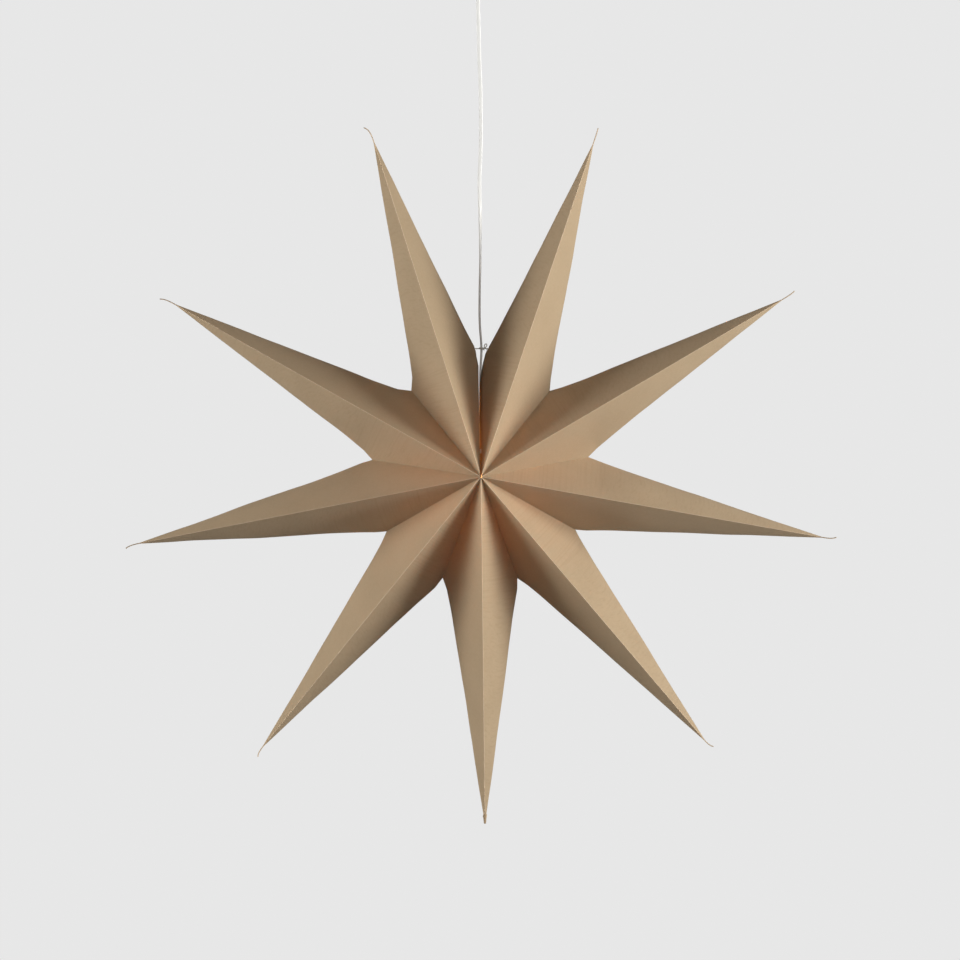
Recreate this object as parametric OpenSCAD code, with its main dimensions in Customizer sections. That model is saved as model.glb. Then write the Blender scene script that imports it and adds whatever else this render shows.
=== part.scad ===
// Nine-pointed folded paper star lamp, hanging on its cord from a ceiling cup.
// Z is up, the front looks toward -Y, and the origin is the middle of the ceiling face.

/* [Star] */
// Reach of a ray's paper cone, from the star's axis to its point
ray_reach = 488; // [420:1:560]
// Half of the star's depth at the hub
half_depth = 125; // [100:1:150]
// Distance from the axis to the notch between two rays
notch_radius = 152; // [130:1:175]
// Half width that the ray's cone would reach at the axis
cone_half_width = 73; // [66:0.5:80]
// Thickness of the paper
paper_t = 0.4; // [0.3:0.05:0.6]
// Width of the glue flaps along the base edges
flap_w = 14; // [10:1:18]
// Radius of the small opening where the rays' inner points meet
hub_gap = 3.5; // [2.5:0.5:6]
// Roundness of a ray's sides, near 0 for a sharp edge
side_round = 0.3; // [0.1:0.05:0.6]

/* [Tails] */
// Width of the flat paper tail at a ray's tip
tail_w = 4.6; // [3:0.2:6]
// Thickness of the tail's folded layers
tail_t = 1.4; // [1:0.1:2]

/* [Slot and ties] */
// Distance from the star's middle to each side of the slot at the hub
slot_gap = 1.4; // [1:0.1:1.8]
// Diameter of the cotton string
string_d = 1.7; // [1.2:0.1:2.2]
// Diameter of the punched holes for the string
punch_d = 4; // [3:0.5:5]
// Distance from the axis to the small ties beside the hubs
small_tie_radius = 36; // [28:1:50]
// Height of the top tie above the place where the slot opens wide
top_tie_rise = 7; // [5:1:14]

/* [Cord] */
// Drop from the ceiling to the star's centre
drop = 760; // [740:5:800]
// Width of the flat cord
cord_w = 5.2; // [4.4:0.1:5.6]
// Thickness of the flat cord
cord_t = 3.2; // [2.8:0.1:3.4]

/* [Lamp holder and bulb] */
// Height of the holder's top above the star's centre
holder_top = 74; // [60:1:84]
// Outer radius of the holder
holder_r = 14; // [13:0.5:18]
// Wall of the holder's cap and body
holder_wall = 1.6; // [1.2:0.1:2]
// Height of the holder's cap
cap_h = 22; // [18:1:28]
// Height of the holder's body below its cap
body_h = 36; // [34:1:44]
// Radius of the bulb's screw shell
screw_r = 6.95; // [6.5:0.05:7.2]
// Radius of the bulb's globe
globe_r = 22.5; // [20:0.5:28]

/* [Ceiling end] */
// Outer radius of the ceiling cup
cup_r = 45; // [40:1:60]
// Height of the ceiling cup
cup_h = 40; // [36:1:50]
// Wall of the ceiling cup
cup_wall = 1.6; // [1.2:0.1:2.5]
// Width of the bracket strip
strip_w = 14; // [12:1:18]
// Thickness of the bracket strip
strip_t = 1.5; // [1:0.1:2]
// Distance between the bracket's two ceiling screw holes
screw_spacing = 54; // [46:1:60]
// Diameter of the ceiling screw holes
screw_hole_d = 4.5; // [4:0.1:5.5]
// Outer radius of the cord grip's threaded neck
neck_r = 5; // [4.6:0.1:6]

/* [Hidden] */
RAYS = 9;
fit = 0.15;
kraft = "#b08a62";
ivory = "#f2efe6";

// Directions in the star's plane, counterclockwise from +X as the front shows them.
// ray_dir holds each ray's front crease, edge_dir the base edges between the rays. The first and
// the last base edge are the two sides of the slot, and the others are glued joints.
ray_dir = [71, 30, -10.5, -50, -89.5, -129, -169, -209.5, -252.5];
edge_dir = [89.43, 50.5, 9.5, -30, -70.5, -110.5, -149.5, -188.5, -231, -269.74];

// Length, turn and twist of each ray's paper tail
tail_len = [40, 38, 36, 32, 19, 29, 36, 42, 46];
tail_turn = [-2, 10, 40, 40, -40, 20, 45, 45, 80];
tail_twist = [0, 0, 0, 0, 90, 0, 0, 0, 0];

// Heights around one side of a ray, from the front crease to the back crease
quarter = [1, 0.62, 0.36, 0.18, 0.07];
notch_col = len(quarter);
around = concat(quarter, [0], [for (k = [notch_col - 1:-1:0]) -quarter[k]]);
half_cols = 2 * notch_col;
cols = 2 * half_cols;
// Sections along the cone, as shares of the way from the notch to the cone's point
stations = [0.02, 0.055, 0.1, 0.17, 0.28, 0.45, 0.66, 0.84, 0.94];
hollow_share = 0.96;
tail_start = notch_radius + (ray_reach - notch_radius) * stations[len(stations) - 1];
// Sections along the tail, as shares of its length
tail_steps = [0.2, 0.4, 0.6, 0.8, 1];
// Past the notch the sides draw in, spread from the cut to the whole cone and grow round
pinch = 0.03;
pinch_len = 60;
spread_past = 12;
round_len = 90;
// Half of the slit between two flaps at the notch, and where the flaps start near the hub
slit = 0.3;
flap_start = 12;

function mix(a, b, f) = a + (b - a) * f;
function ease(f) = let (g = max(0, min(1, f))) g * g * (3 - 2 * g);
function turned(p, a) = [p[0] * cos(a) - p[1] * sin(a), p[0] * sin(a) + p[1] * cos(a)];

// Depth that the paper's thickness takes across the depth and across the width
skin_w = paper_t * sqrt(1 + pow(half_depth / cone_half_width, 2));
skin_v = paper_t * sqrt(1 + pow(cone_half_width / half_depth, 2));

// One side of ray i: [angle from the crease to the base edge, the edge's offset, sign of v]
function ray_side(i, sign) =
    [abs((sign > 0 ? edge_dir[i - 1] : edge_dir[i]) - ray_dir[i - 1]),
     (sign > 0 && i == 1) || (sign < 0 && i == RAYS) ? slot_gap : 0, sign];
function ray_sides(i) = [ray_side(i, 1), ray_side(i, -1)];

// Point of the plane through a base edge, at distance r along it and set in by more
function edge_uv(side, r, more = 0) =
    let (d = side[1] + more)
    [r * cos(side[0]) + d * sin(side[0]), side[2] * (r * sin(side[0]) - d * cos(side[0]))];
function notch_uv(side) = edge_uv(side, notch_radius);

// Height of the front crease, and of the flat panel beside it
function crease_h(u) = half_depth * (1 - u / ray_reach);
function panel_h(side, p) =
    let (n = notch_uv(side)) crease_h(p[0]) - crease_h(n[0]) / abs(n[1]) * abs(p[1]);

// Base edge: its hub end stays clear of the neighbour across the slot
function hub_start(side) = max(hub_gap, (side[1] + 1) / sin(side[0]));
function crease_start(sides) = max(hub_start(sides[0]), hub_start(sides[1]));
function inner_notch(side) =
    let (wa = panel_h(side, edge_uv(side, 0, paper_t)) - skin_w,
         wb = panel_h(side, edge_uv(side, notch_radius, paper_t)) - skin_w)
    notch_radius * wa / (wa - wb);
function base_point(side, f, face, inner) =
    let (p = edge_uv(side, mix(hub_start(side), inner ? inner_notch(side) : notch_radius, f),
                     inner ? paper_t : 0),
         w = f == 1 ? 0 : panel_h(side, p) - (inner ? skin_w : 0))
    [p[0], p[1], face * w];

// Free corners of a glue flap, in the base edge's plane
function flap_point(side, face, at_notch, inner) =
    let (r0 = hub_start(side), w0 = panel_h(side, edge_uv(side, r0)),
         span = [notch_radius - r0, -w0], along = span / norm(span), inward = [along[1], -along[0]],
         start = [r0, w0] + flap_w * inward,
         step = at_notch ? (slit - start[1]) / along[1] : (flap_start - start[0]) / along[0],
         q = start + step * along, p = edge_uv(side, q[0], inner ? paper_t : 0))
    [p[0], p[1], face * q[1]];

// Distance from the axis at which the whole cone would meet the plane through a base edge
function cone_notch(side) =
    let (a = side[0], d = side[1], share = cone_half_width / ray_reach)
    (cone_half_width - share * d * sin(a) + d * cos(a)) / (sin(a) + share * cos(a));
// Half width of one side of a ray at u
function half_width(side, u) =
    let (n = notch_uv(side), cone = cone_half_width * (1 - u / ray_reach),
         held = cone_half_width * (1 - n[0] / ray_reach) - abs(n[1]),
         spread = abs(cone_notch(side) - notch_radius) + spread_past)
    max(tail_t / 2, cone * (1 - pinch * ease((u - n[0]) / pinch_len))
                    - held * (1 - ease((u - n[0]) / spread)));
function half_height(u) = max(tail_w / 2, crease_h(u));
// Share of the half width at height share t, from a sharp corner to a rounded one
function bulge(t, c) = 1 - (sqrt(t * t + c * c) - c) / (sqrt(1 + c * c) - c);
function section(side, u, t, inner) =
    let (c = side_round * ease((u - notch_uv(side)[0]) / round_len))
    [side[2] * (half_width(side, u) - (inner ? skin_v : 0)) * bulge(t, c),
     t * (half_height(u) - (inner ? skin_w : 0))];

// Column k around a ray: its side, and its height share
function column(sides, k) =
    k <= half_cols ? [sides[0], around[k]] : [sides[1], around[cols - k]];
function rim_point(sides, k, inner) =
    let (c = column(sides, k), t = abs(c[1]), face = c[1] < 0 ? -1 : 1, u = crease_start(sides))
    t == 1 ? [u, 0, face * (crease_h(u) - (inner ? skin_w : 0))]
           : base_point(c[0], 1 - t / quarter[1], face, inner);
function rim_ring(sides, inner) = [for (k = [0:cols - 1]) rim_point(sides, k, inner)];
function cone_ring(sides, share, inner) =
    let (u = mix(notch_radius, ray_reach, share))
    [for (k = [0:cols - 1]) let (c = column(sides, k), q = section(c[0], u, c[1], inner))
        [u, q[0], q[1]]];

// Middle line of a tail: it turns little at first and more toward its end
function tail_heading(i, f) = tail_turn[i - 1] * f * f;
function tail_middle(i, f, n = 8, a = 0) =
    a == n ? [0, 0]
           : let (h = tail_heading(i, f * (a + 0.5) / n))
             tail_len[i - 1] * f / n * [cos(h), sin(h)] + tail_middle(i, f, n, a + 1);
function tail_ring(i, sides, f) =
    let (m = tail_middle(i, f), h = tail_heading(i, f), last = tail_twist[i - 1])
    [for (k = [0:cols - 1])
        let (c = column(sides, k),
             q = section(c[0], tail_start + tail_len[i - 1] * f, c[1], false),
             b = turned(q, last * ease(1.6 * f) - last),
             vw = turned([m[1] + b[0] * cos(h), b[1]], last))
        [tail_start + m[0] - b[0] * sin(h), vw[0], vw[1]]];

// Faces between the rings of points that start at row numbers first to last
function skin_faces(first, last, outward) =
    [for (row = [first:last - 1], k = [0:cols - 1])
        let (a = row * cols + k, b = row * cols + (k + 1) % cols)
        each outward ? [[a, b, b + cols], [a, b + cols, a + cols]]
                     : [[a, b + cols, b], [a, a + cols, b + cols]]];
// Faces of one flap between the columns a and b. f holds its free corners' numbers: outer at a,
// outer at b, inner at a, inner at b. inn is the number of the inner rim's first point.
function flap_faces(a, b, f, inn) =
    [concat([for (k = [b:-1:a]) k], [f[0], f[1]]),
     concat([for (k = [a:b]) inn + k], [f[3], f[2]]),
     [f[1], f[0], f[2], f[3]],
     [f[0], a, inn + a, f[2]],
     [b, f[1], f[3], inn + b]];

// One ray in its own axes: u along the ray, v across it, w toward the front
module paper_ray(i) {
    sides = ray_sides(i);
    outer = concat([rim_ring(sides, false)],
                   [for (s = stations) cone_ring(sides, s, false)],
                   [for (f = tail_steps) tail_ring(i, sides, f)]);
    inner = concat([rim_ring(sides, true)], [for (s = stations) cone_ring(sides, s, true)]);
    rows = len(outer);
    inn = rows * cols;
    apex = inn + len(inner) * cols;
    // First and last column of each flap, its side and its face
    flaps = [[1, notch_col, sides[0], 1], [notch_col, half_cols - 1, sides[0], -1],
             [half_cols + 1, cols - notch_col, sides[1], -1],
             [cols - notch_col, cols - 1, sides[1], 1]];
    corners = [for (f = flaps) let (a_notch = f[0] == notch_col || f[0] == cols - notch_col)
        each [for (inside = [false, true], at = [a_notch, !a_notch])
            flap_point(f[2], f[3], at, inside)]];
    points = concat([for (ring = outer) each ring], [for (ring = inner) each ring],
                    [[mix(notch_radius, ray_reach, hollow_share), 0, 0]], corners);
    inner_last = inn + (len(inner) - 1) * cols;
    hub_ends = [cols - 1, 0, half_cols - 1, half_cols];
    faces = concat(
        skin_faces(0, rows - 1, true),
        [[for (k = [0:cols - 1]) (rows - 1) * cols + k]],
        skin_faces(rows, rows + len(inner) - 1, false),
        [for (k = [0:cols - 1]) [inner_last + k, apex, inner_last + (k + 1) % cols]],
        [for (k = hub_ends) let (n = (k + 1) % cols) [n, k, inn + k, inn + n]],
        [for (j = [0:len(flaps) - 1]) let (c = apex + 1 + 4 * j)
            each flap_faces(flaps[j][0], flaps[j][1], [c, c + 1, c + 2, c + 3], inn)]);
    polyhedron(points = points, faces = faces, convexity = 10);
}

// Puts the star's own axes, with X right, Y up and Z to the front, at its place under the cord
module star_place() translate([0, 0, -drop]) rotate([90, 0, 0]) children();

// Cord: [x, height above the star's centre] along its front view, from the lamp holder up
cord_route = [[0, 40], [0, 100], [0.3, 130], [0.5, 150], [1.6, 162], [2.2, 176], [1.4, 190],
              [0, 205], [-0.5, 225], [0, 262], [1, 295], [1, 362], [0, 412], [1, 428], [2.5, 462],
              [2.5, 510], [2, 545], [0.5, 578], [0, 612], [-1, 660], [0, 690], [0, 800]];
cord_rings = 62;
// The cord's wide side turns from the front to the side between these heights
cord_turn_low = 290;
cord_turn_high = 430;

// Lamp holder: the cap's corner, the body's step inside the cap and the collar in that step
cap_corner = 5;
step_h = 6;
step_wall = 1.2;
holder_inner = holder_r - holder_wall;

// Heights of the lamp pieces above the star's centre
base_h = 8;
shelf_h = 2;
body_top = holder_top - cap_h;
base_bottom = body_top - base_h;
contact_h = 2.2;
pip_h = 1.5;
insulator_h = 3;
screw_h = 20;
pip_bottom = base_bottom - contact_h - pip_h;
insulator_bottom = pip_bottom - insulator_h;
screw_bottom = insulator_bottom - screw_h;
sleeve_h = 24;
sleeve_gap = 0.25;
sleeve_wall = 0.6;
globe_drop = 31;
// The bulb's thread, and how much narrower its ends are than its shell
thread_turns = 6;
thread_pitch = 2.8;
thread_wave = 0.5;
shell_step = 1.2;
waist_angle = 40;
waist_steps = 8;

// Heights at the ceiling end
cup_corner = 12;
tab_h = 12;
side_screw_z = -7;
side_screw_r = 1.4;
side_screw_past = 2;
side_head_h = 1.6;
flange_h = 3;
flange_r = 9;
barrel_h = 14;
barrel_flare = 1.8;
neck_h = 8;
nut_h = 4;
nut_across = 14;
block = [22, 14, 13];
block_top = -8;
cord_top = block_top - block[2];
tab_x = sqrt(pow(cup_r - cup_wall, 2) - pow(strip_w / 2, 2)) - fit;

// The slot's ties: where they cross the star's middle plane
top_tie_z = top_tie_rise
    + max(notch_radius, cone_notch(ray_side(1, 1)), cone_notch(ray_side(RAYS, -1)));
small_tie =
    let (side = ray_side(1, 1), r0 = hub_start(side), w0 = panel_h(side, edge_uv(side, r0)),
         span = [notch_radius - r0, -w0], along = span / norm(span),
         on_edge = [small_tie_radius,
                    w0 * (notch_radius - small_tie_radius) / (notch_radius - r0)])
    [on_edge, on_edge + flap_w / 2 * [along[1], -along[0]]];
// X of a slot side at height z in the star's plane: side 0 is the right one, side 9 the left one
function slot_x(i, z) =
    (i == 0 ? slot_gap : -slot_gap) / abs(sin(edge_dir[i])) + z / tan(edge_dir[i]);
// X of the outer wall of ray i, on its side toward the slot, at height z in the star's plane
function wall_u(i, sign, z, u, n = 8) =
    n == 0 ? u
           : wall_u(i, sign, z,
                    (z - sign * half_width(ray_side(i, sign), u) * cos(ray_dir[i - 1]))
                        / sin(ray_dir[i - 1]), n - 1);
function wall_x(i, sign, z) =
    let (u = wall_u(i, sign, z, z))
    u * cos(ray_dir[i - 1]) - sign * half_width(ray_side(i, sign), u) * sin(ray_dir[i - 1]);
// String ties: the punches' reach past the paper, the knots, and where the bow's parts lie
top_reach = 15;
small_reach = 9;
knot_r = punch_d / 2 + 0.5;
knot_gap = 0.25;
bow_r = 1.2 * string_d;
bow_set = [0.6, 0.4, 1.5];
loop_r = 2.1;
loop_set = [1.6, 3.4, 0.4];
end_set = [3.6, -2.2, 2.2];
small_end_set = [0, -5, 4];
// X of a knot's middle inside the side of ray i, clear of the sloping paper all round
function knot_x(i, sign) =
    let (r = (knot_r + knot_gap) * skin_v / paper_t + skin_v)
    sign * max([for (k = [-1:0.125:1])
        sign * wall_x(i, sign, top_tie_z + k * r) + r * sqrt(1 - k * k)]);

function cord_x(h) =
    let (heights = [for (p = cord_route) [p[1], p[0]]])
    (lookup(h - 8, heights) + 2 * lookup(h, heights) + lookup(h + 8, heights)) / 4;
function cord_turn(h) = 90 * (1 - ease((h - cord_turn_low) / (cord_turn_high - cord_turn_low)));
function cord_ring(h) =
    [for (half = [1, -1], a = [-75:30:75])
        let (p = turned(half * [(cord_w - cord_t) / 2 + cord_t / 2 * cos(a), cord_t / 2 * sin(a)],
                        cord_turn(h)))
        [cord_x(h) + p[0], p[1], h - drop]];

// Quarter of a circle of radius r about c, from angle a0 to a1
function arc(c, r, a0, a1, n = 10) =
    [for (k = [0:n]) let (a = mix(a0, a1, k / n)) c + r * [cos(a), sin(a)]];

// Holes for the strings, in the star's own axes
module punch_holes() {
    for (ray = [[1, 1], [RAYS, -1]])
        translate([wall_x(ray[0], ray[1], top_tie_z) - top_reach / 2, top_tie_z, 0])
            rotate([0, 90, 0]) cylinder(d = punch_d, h = top_reach, $fn = 32);
    for (face = [1, -1])
        translate([-small_reach, small_tie[1][0], face * small_tie[1][1]])
            rotate([0, 90, 0]) cylinder(d = punch_d, h = 2 * small_reach, $fn = 32);
}

module ray(i) {
    color(kraft) star_place()
        if (i == 1 || i == RAYS)
            difference() {
                rotate([0, 0, ray_dir[i - 1]]) paper_ray(i);
                punch_holes();
            }
        else
            rotate([0, 0, ray_dir[i - 1]]) paper_ray(i);
}

// Straight piece of string from a to b
module strand(a, b) {
    d = b - a;
    translate(a) rotate([0, acos(d[2] / norm(d)), atan2(d[1], d[0])])
        cylinder(d = string_d, h = norm(d), $fn = 16);
}

// Turn of string with the middle radius r, a little taller than the string is thick
module string_turn(r) {
    h = string_d + 2 * fit;
    difference() {
        translate([0, 0, -h / 2]) cylinder(r = r + string_d / 2, h = h, $fn = 48);
        translate([0, 0, -h]) cylinder(r = r - string_d / 2, h = 2 * h, $fn = 48);
    }
}

// Top tie: from a knot inside ray 9, round the cord, to a knot inside ray 1
module top_tie() {
    cord_at = cord_x(top_tie_z);
    left = knot_x(RAYS, -1);
    right = knot_x(1, 1);
    turn_r = (cord_w + string_d) / 2 + fit;
    bow = [cord_at + turn_r, top_tie_z, 0] + bow_set;
    color(ivory) star_place() {
        translate([cord_at, top_tie_z, 0]) rotate([90, 0, 0]) string_turn(turn_r);
        strand([left, top_tie_z, 0], [cord_at - turn_r, top_tie_z, 0]);
        strand([cord_at + turn_r, top_tie_z, 0], [right, top_tie_z, 0]);
        for (x = [left, right]) translate([x, top_tie_z, 0]) sphere(r = knot_r, $fn = 32);
        translate(bow) sphere(r = bow_r, $fn = 32);
        translate(bow + loop_set) string_turn(loop_r);
        strand(bow, bow + end_set);
    }
}

// Small tie through the flaps' holes, with its knot in the slot's mouth
module small_tie(face) {
    edge = [0, small_tie[0][0], face * small_tie[0][1]];
    hole = [0, small_tie[1][0], face * small_tie[1][1]];
    middle = (slot_x(0, small_tie_radius) + slot_x(RAYS, small_tie_radius)) / 2;
    half = (slot_x(0, small_tie_radius) - slot_x(RAYS, small_tie_radius)) / 2;
    left = slot_x(RAYS, hole[1]) - paper_t - knot_gap - knot_r;
    right = slot_x(0, hole[1]) + paper_t + knot_gap + knot_r;
    color(ivory) star_place() {
        strand(hole + [left, 0, 0], hole + [right, 0, 0]);
        for (x = [left, right]) translate(hole + [x, 0, 0]) sphere(r = knot_r, $fn = 32);
        strand(hole + [middle, 0, 0], edge + [middle, 0, 0]);
        translate(edge + [middle, 0, 0]) sphere(r = half - fit, $fn = 32);
        strand(edge + [middle, 0, 0],
               edge + [middle + small_end_set[0], small_end_set[1], face * small_end_set[2]]);
    }
}
module front_tie() small_tie(1);
module back_tie() small_tie(-1);

// Flat twin cord from the terminal block down to the lamp holder's contact base
module cord() {
    top = drop + cord_top;
    rings = [for (k = [0:cord_rings - 1]) cord_ring(mix(body_top, top, k / (cord_rings - 1)))];
    n = len(rings[0]);
    color(ivory)
        polyhedron(
            points = [for (r = rings) each r],
            faces = concat(
                [[for (k = [0:n - 1]) k]],
                [for (row = [0:cord_rings - 2], k = [0:n - 1])
                    let (a = row * n + k, b = row * n + (k + 1) % n)
                    each [[a, a + n, b + n], [a, b + n, b]]],
                [[for (k = [n - 1:-1:0]) (cord_rings - 1) * n + k]]));
}

// Lamp holder
module holder_cap() {
    hole = cord_w / 2 + fit;
    middle = [holder_r - cap_corner, cap_h - cap_corner];
    color(ivory) translate([0, 0, body_top - drop])
        rotate_extrude($fn = 64) polygon(concat(
            [[holder_inner, 0], [holder_r, 0]],
            arc(middle, cap_corner, 0, 90),
            [[hole, cap_h], [hole, cap_h - holder_wall]],
            arc(middle, cap_corner - holder_wall, 90, 0)));
}
module holder_body() {
    neck = holder_inner - fit;
    bore = neck - step_wall;
    shelf = screw_r + sleeve_gap + sleeve_wall + fit;
    color(ivory) translate([0, 0, body_top - drop])
        rotate_extrude($fn = 64) polygon(
            [[holder_inner, -body_h], [holder_r, -body_h], [holder_r, 0], [neck, 0],
             [neck, step_h], [bore, step_h], [bore, -base_h], [shelf, -base_h],
             [shelf, -base_h - shelf_h], [holder_inner, -base_h - shelf_h]]);
}
module contact_base()
    color("#e9e4da") translate([0, 0, base_bottom - drop])
        cylinder(r = holder_inner - step_wall - 2 * fit, h = base_h, $fn = 64);
module thread_sleeve() {
    inner = screw_r + sleeve_gap;
    color("#c8a24a") translate([0, 0, base_bottom - sleeve_h - drop])
        difference() {
            cylinder(r = inner + sleeve_wall, h = sleeve_h, $fn = 64);
            translate([0, 0, -1]) cylinder(r = inner, h = sleeve_h + 2, $fn = 64);
        }
}
module centre_contact()
    color("#c8a24a") translate([0, 0, base_bottom - contact_h - drop])
        cylinder(r = 3.5, h = contact_h, $fn = 32);

// Bulb
module bulb_contact()
    color("#9a9a98") translate([0, 0, pip_bottom - drop])
        cylinder(r1 = 3, r2 = 2.2, h = pip_h, $fn = 32);
module bulb_insulator()
    color("#1d1c1e") translate([0, 0, insulator_bottom - drop])
        cylinder(r1 = screw_r - shell_step, r2 = 3, h = insulator_h, $fn = 48);
module bulb_cap()
    color("#b9b6ae") translate([0, 0, screw_bottom - drop])
        rotate_extrude($fn = 64) polygon(concat(
            [[0, 0], [screw_r - thread_wave, 0]],
            [for (k = [1:thread_turns], s = [0.25, 0.5, 0.75, 1])
                [screw_r - thread_wave * (1 + cos(360 * s)) / 2, thread_pitch * (k - 1 + s)]],
            [[screw_r - shell_step, screw_h], [0, screw_h]]));
module bulb_glass() {
    neck = screw_r - shell_step / 2;
    waist = turned([globe_r, 0], waist_angle);
    color("#fff3dc") translate([0, 0, screw_bottom - globe_drop - drop])
        rotate_extrude($fn = 72) polygon(concat(
            [[0, -globe_r]],
            arc([0, 0], globe_r, -86, waist_angle, 20),
            [for (k = [1:waist_steps]) let (f = k / waist_steps)
                [mix(waist[0], neck, ease(f)), mix(waist[1], globe_drop, f)]],
            [[0, globe_drop]]));
}

// Ceiling end
module ceiling_cup() {
    hole = neck_r + fit;
    color("white") difference() {
        translate([0, 0, -cup_h]) rotate_extrude($fn = 96) polygon(concat(
            [[cup_r - cup_wall, cup_h]],
            arc([cup_r - cup_corner, cup_corner], cup_corner - cup_wall, 0, -90),
            [[hole, cup_wall], [hole, 0]],
            arc([cup_r - cup_corner, cup_corner], cup_corner, -90, 0),
            [[cup_r, cup_h]]));
        translate([-cup_r - 1, 0, side_screw_z]) rotate([0, 90, 0])
            cylinder(r = side_screw_r + fit, h = 2 * cup_r + 2, $fn = 32);
    }
}
module ceiling_bracket() {
    color("#b4b7ba") difference() {
        union() {
            translate([-tab_x, -strip_w / 2, -strip_t]) cube([2 * tab_x, strip_w, strip_t]);
            for (x = [-tab_x, tab_x - strip_t])
                translate([x, -strip_w / 2, -tab_h]) cube([strip_t, strip_w, tab_h]);
        }
        for (x = [-1, 1] * screw_spacing / 2)
            translate([x, 0, -strip_t - 1]) cylinder(d = screw_hole_d, h = strip_t + 2, $fn = 48);
        translate([-tab_x - 1, 0, side_screw_z]) rotate([0, 90, 0])
            cylinder(r = side_screw_r + 0.1, h = 2 * tab_x + 2, $fn = 32);
    }
}
module cup_screws() {
    length = cup_r - tab_x + strip_t + side_screw_past;
    color("#b4b7ba") for (side = [1, -1])
        translate([side * (cup_r + 0.1), 0, side_screw_z]) rotate([0, side * 90, 0]) {
            difference() {
                cylinder(r1 = 2 * side_screw_r, r2 = 1.7 * side_screw_r, h = side_head_h, $fn = 32);
                translate([-0.4, -5, side_head_h / 2]) cube([0.8, 10, side_head_h]);
            }
            translate([0, 0, -length]) cylinder(r = side_screw_r, h = length, $fn = 32);
        }
}
module cord_grip() {
    bore = cord_w / 2 + fit;
    color("white") translate([0, 0, -cup_h]) difference() {
        union() {
            cylinder(r = neck_r, h = neck_h, $fn = 64);
            translate([0, 0, -flange_h]) cylinder(r = flange_r, h = flange_h, $fn = 64);
            translate([0, 0, -flange_h - barrel_h])
                cylinder(r1 = neck_r, r2 = neck_r + barrel_flare, h = barrel_h, $fn = 64);
        }
        translate([0, 0, -flange_h - barrel_h - 1])
            cylinder(r = bore, h = neck_h + flange_h + barrel_h + 2, $fn = 64);
    }
}
module grip_nut() {
    color("white") translate([0, 0, -cup_h + cup_wall]) difference() {
        cylinder(d = nut_across / cos(30), h = nut_h, $fn = 6);
        translate([0, 0, -1]) cylinder(r = neck_r + 0.1, h = nut_h + 2, $fn = 64);
    }
}
module terminal_block() {
    color("#d8d8d4") difference() {
        translate([-block[0] / 2, -block[1] / 2, cord_top]) cube(block);
        for (x = [-1, 1] * block[0] / 4) {
            translate([x, 0, block_top - 3]) cylinder(r = 1.9, h = 4, $fn = 32);
            translate([x, block[1] / 2 - 4, cord_top + 4]) rotate([-90, 0, 0])
                cylinder(r = 1.6, h = 5, $fn = 32);
        }
    }
}

for (i = [1:RAYS]) ray(i);
top_tie();
front_tie();
back_tie();
cord();
holder_cap();
holder_body();
contact_base();
thread_sleeve();
centre_contact();
bulb_glass();
bulb_cap();
bulb_insulator();
bulb_contact();
ceiling_cup();
ceiling_bracket();
cup_screws();
cord_grip();
grip_nut();
terminal_block();
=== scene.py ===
"""Looks of the paper star lamp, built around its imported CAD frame.

Star axes: x right, h up from the star's centre, f toward the front, all in millimetres.
A ray's own axes: u along the ray, v counterclockwise in the star's plane, w toward the front.
"""

import math

import bpy
import numpy as np
from mathutils import Matrix, Vector, noise

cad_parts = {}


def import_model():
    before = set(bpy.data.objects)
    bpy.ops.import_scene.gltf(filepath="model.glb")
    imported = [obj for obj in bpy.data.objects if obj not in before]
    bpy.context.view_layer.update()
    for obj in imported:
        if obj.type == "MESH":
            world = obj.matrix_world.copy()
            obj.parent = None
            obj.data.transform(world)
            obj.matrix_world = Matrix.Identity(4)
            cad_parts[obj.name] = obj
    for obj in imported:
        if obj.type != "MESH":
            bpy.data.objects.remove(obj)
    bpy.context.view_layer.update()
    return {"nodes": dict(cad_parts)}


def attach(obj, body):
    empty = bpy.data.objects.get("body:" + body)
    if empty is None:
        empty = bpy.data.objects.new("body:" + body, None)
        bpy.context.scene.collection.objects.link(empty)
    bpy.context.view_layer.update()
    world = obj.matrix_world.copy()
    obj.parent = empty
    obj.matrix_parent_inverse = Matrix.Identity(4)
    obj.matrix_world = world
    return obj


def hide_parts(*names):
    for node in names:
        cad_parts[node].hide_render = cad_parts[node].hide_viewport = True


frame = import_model()
nodes = frame["nodes"]
scene = bpy.context.scene
scene.view_settings.view_transform = "Standard"

# Sizes. They repeat the solids' sizes, apart from three things that the solids have otherwise: a
# closer hub, the lean of the slot's flaps, and tails that turn only toward their ends.
DROP = 760.0
REACH, DEPTH, NOTCH, CONE = 488.0, 125.0, 152.0, 73.0
PAPER, FLAP, HUB_GAP, ROUND = 0.4, 14.0, 1.5, 0.3
# How far a base edge's hub end stays clear of its own crease
HUB_CLEAR = 0.1
TAIL_W, TAIL_T = 4.6, 1.4
SLOT, STRING, PUNCH = 1.4, 1.7, 4.0
TIE_RADIUS, TIE_RISE = 36.0, 7.0
CORD_W, CORD_T = 5.2, 3.2
HOLDER_TOP, CAP_H = 74.0, 22.0
CORD_TOP = -21.0
# The cord's wide side turns from the front to the side between these heights
CORD_TURN_LOW, CORD_TURN_HIGH = 290.0, 430.0
RAY_DIR = [71, 30, -10.5, -50, -89.5, -129, -169, -209.5, -252.5]
EDGE_DIR = [89.43, 50.5, 9.5, -30, -70.5, -110.5, -149.5, -188.5, -231, -269.74]
TAIL_LEN = [40, 38, 36, 32, 19, 33, 36, 40, 42]
TAIL_TURN = [4, 16, 34, 42, -30, 36, 32, 34, 64]
TAIL_TWIST = [0, 0, 0, 0, 90, 0, 0, 0, 0]
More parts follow.
